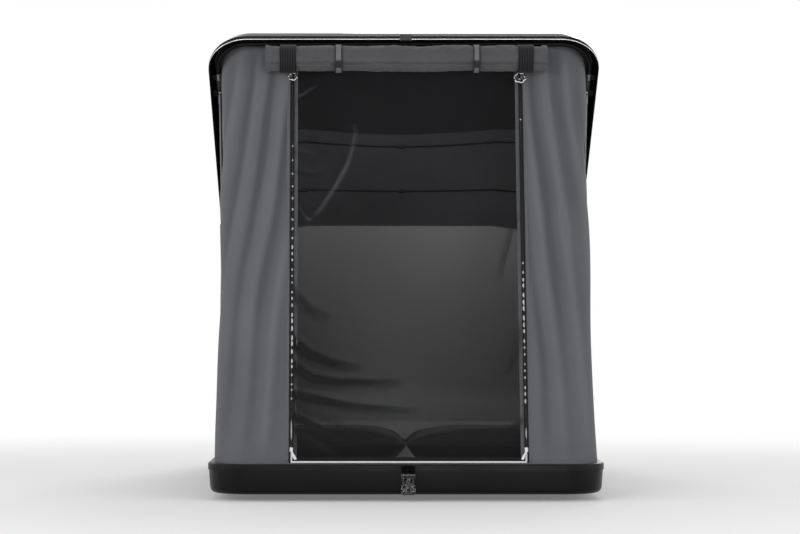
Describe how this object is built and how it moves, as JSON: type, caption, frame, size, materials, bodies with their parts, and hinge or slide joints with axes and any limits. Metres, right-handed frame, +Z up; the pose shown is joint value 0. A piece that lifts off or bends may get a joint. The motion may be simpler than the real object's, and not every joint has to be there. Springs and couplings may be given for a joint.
{
  "type": "rooftop tent",
  "caption": "Hard-shell rooftop tent with a rear-hinged tilting lid on gas struts, fabric walls, a net door, a rolled outer door and bedding.",
  "frame": {"origin": "centre of the four bolt holes, at the underside of the two mounting rails", "axes": "+X across the tent to the right as seen from the door, +Y from the door to the hinges, +Z up"},
  "size_m": [1.3676, 2.1657, 1.5826],
  "materials": {
    "tray_moulding": "textured moulded",
    "rim_aluminium": "satin black powder coat",
    "floor_board": "raw plywood",
    "mattress_cover": "woven cover",
    "pillow_cover": "brushed cotton",
    "rail_aluminium": "extruded",
    "hinge_steel": "black coat",
    "pin_steel": "turned",
    "bracket_steel": "zinc plated",
    "latch_metal": "satin black",
    "latch_grip": "textured",
    "lid_moulding": "smooth moulded",
    "edge_trim": "extruded trim",
    "lining": "quilted",
    "net": "fine mesh",
    "cord": "braided elastic",
    "tube_black": "black coat",
    "strut_black": "gloss black",
    "rod_chrome": "ground chrome",
    "wall_cloth": "coated canvas",
    "binding": "woven tape",
    "zip": "moulded teeth",
    "roll_cloth": "coated canvas",
    "strap": "elastic webbing"
  },
  "bodies": {
    "base": {"base_tray": "tray_moulding", "rim_band": "rim_aluminium", "floor_panel": "floor_board", "mattress": "mattress_cover", "pillows": "pillow_cover", "mount_rails": "rail_aluminium", "hinge_base": "hinge_steel", "hinge_pins": "pin_steel", "strut_brackets": "bracket_steel", "latch_base": "latch_metal", "front_wall": "wall_cloth", "front_header": "wall_cloth", "side_wall_left": "wall_cloth", "side_wall_right": "wall_cloth", "rear_gusset": "wall_cloth", "net_door": "net", "door_binding": "binding", "door_zip": "zip", "rolled_door": "roll_cloth", "roll_straps": "strap", "window_left": "wall_cloth", "window_right": "wall_cloth"},
    "lid": {"lid_shell": "lid_moulding", "lid_edge": "edge_trim", "lid_liner": "lining", "ceiling_net": "net", "ceiling_cords": "cord", "bow_tube": "tube_black", "lid_brackets": "bracket_steel", "hinge_lid": "hinge_steel", "lid_catch": "latch_metal"},
    "strut_left": {"strut_left": "strut_black"},
    "strut_right": {"strut_right": "strut_black"},
    "rod_left": {"rod_left": "rod_chrome"},
    "rod_right": {"rod_right": "rod_chrome"},
    "latch_lever": {"latch_lever": "latch_grip"},
    "latch_claw": {"latch_claw": "latch_metal"}
  },
  "joints": [
    {"name": "lid_hinge", "type": "hinge", "parent": "base", "child": "lid", "pos_m": [0, 1.064, 0.1225], "axis": [1, 0, 0], "range_deg": [0, 42], "deforming": ["front_wall", "front_header", "side_wall_left", "side_wall_right", "rear_gusset", "net_door", "door_binding", "door_zip", "rolled_door", "roll_straps", "window_left", "window_right"]},
    {"name": "strut_swing_left", "type": "hinge", "parent": "base", "child": "strut_left", "pos_m": [-0.65, 0.064, 0.14], "axis": [1, 0, 0], "range_deg": [0, 73]},
    {"name": "strut_swing_right", "type": "hinge", "parent": "base", "child": "strut_right", "pos_m": [0.65, 0.064, 0.14], "axis": [1, 0, 0], "range_deg": [0, 73]},
    {"name": "strut_slide_left", "type": "slide", "parent": "strut_left", "child": "rod_left", "axis": [0, -0.2933, 0.956], "range_m": [-0.433, 0]},
    {"name": "strut_slide_right", "type": "slide", "parent": "strut_right", "child": "rod_right", "axis": [0, -0.2933, 0.956], "range_m": [-0.433, 0]},
    {"name": "latch_swing", "type": "hinge", "parent": "base", "child": "latch_lever", "pos_m": [0.005, -1.058, 0.072], "axis": [-1, 0, 0], "range_deg": [0, 100]},
    {"name": "claw_swing", "type": "hinge", "parent": "latch_lever", "child": "latch_claw", "pos_m": [0.005, -1.058, 0.066], "axis": [1, 0, 0], "range_deg": [0, 100]}
  ],
  "couplings": [
    {"joint": "strut_swing_left", "follows": "lid_hinge", "ratio": 1.7353},
    {"joint": "strut_swing_right", "follows": "lid_hinge", "ratio": 1.7353},
    {"joint": "strut_slide_left", "follows": "lid_hinge", "m_per_rad": -0.58919},
    {"joint": "strut_slide_right", "follows": "lid_hinge", "m_per_rad": -0.58919},
    {"joint": "claw_swing", "follows": "latch_swing", "ratio": 1}
  ]
}
